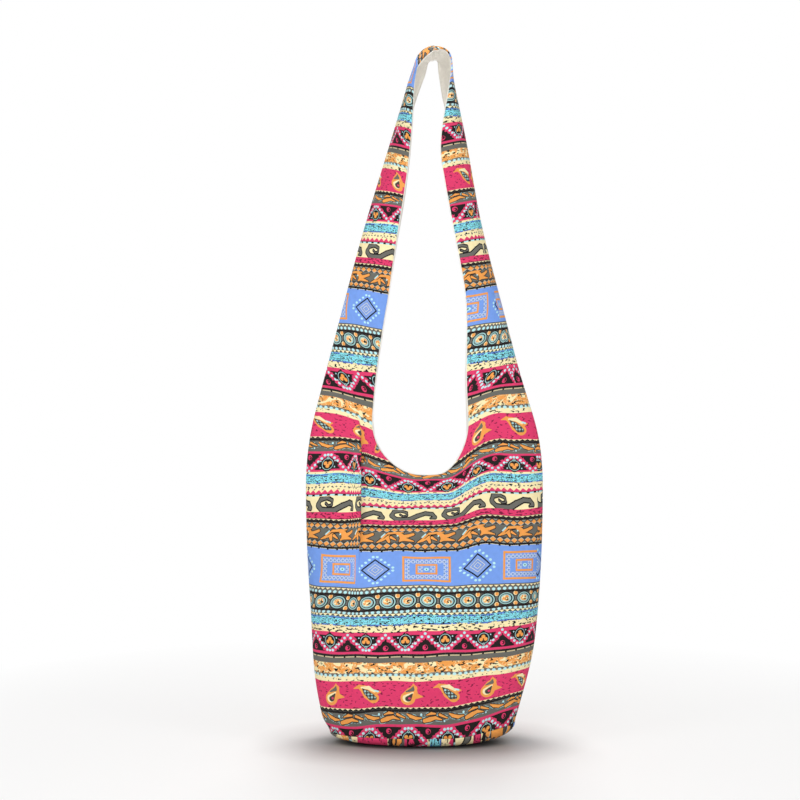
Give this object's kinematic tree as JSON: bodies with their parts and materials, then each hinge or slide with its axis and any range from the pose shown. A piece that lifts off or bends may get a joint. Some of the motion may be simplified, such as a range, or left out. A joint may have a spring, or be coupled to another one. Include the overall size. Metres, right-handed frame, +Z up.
{
  "type": "printed cotton sling bag",
  "caption": "Soft hobo sling bag sewn from striped printed cotton: a deep open pouch on an oval base, with long panel arms that fold and meet as one wide shoulder strap.",
  "frame": {"origin": "underside of the strap's top, at the shoulder seam, where it lies on a peg or shoulder", "axes": "+Z up along the hanging bag, +X to the right as the front is seen, front faces -Y"},
  "size_m": [0.3498, 0.15, 1.02],
  "materials": {
    "printed_cotton": "plain-woven cotton, printed in striped bands, matt",
    "plain_cotton": "plain-woven undyed cotton, matt"
  },
  "bodies": {
    "root": {"front_panel": "printed_cotton", "back_panel": "printed_cotton", "base_panel": "printed_cotton", "front_mouth_facing": "printed_cotton", "back_mouth_facing": "printed_cotton", "front_lining": "plain_cotton", "back_lining": "plain_cotton", "base_lining": "plain_cotton"}
  },
  "joints": []
}
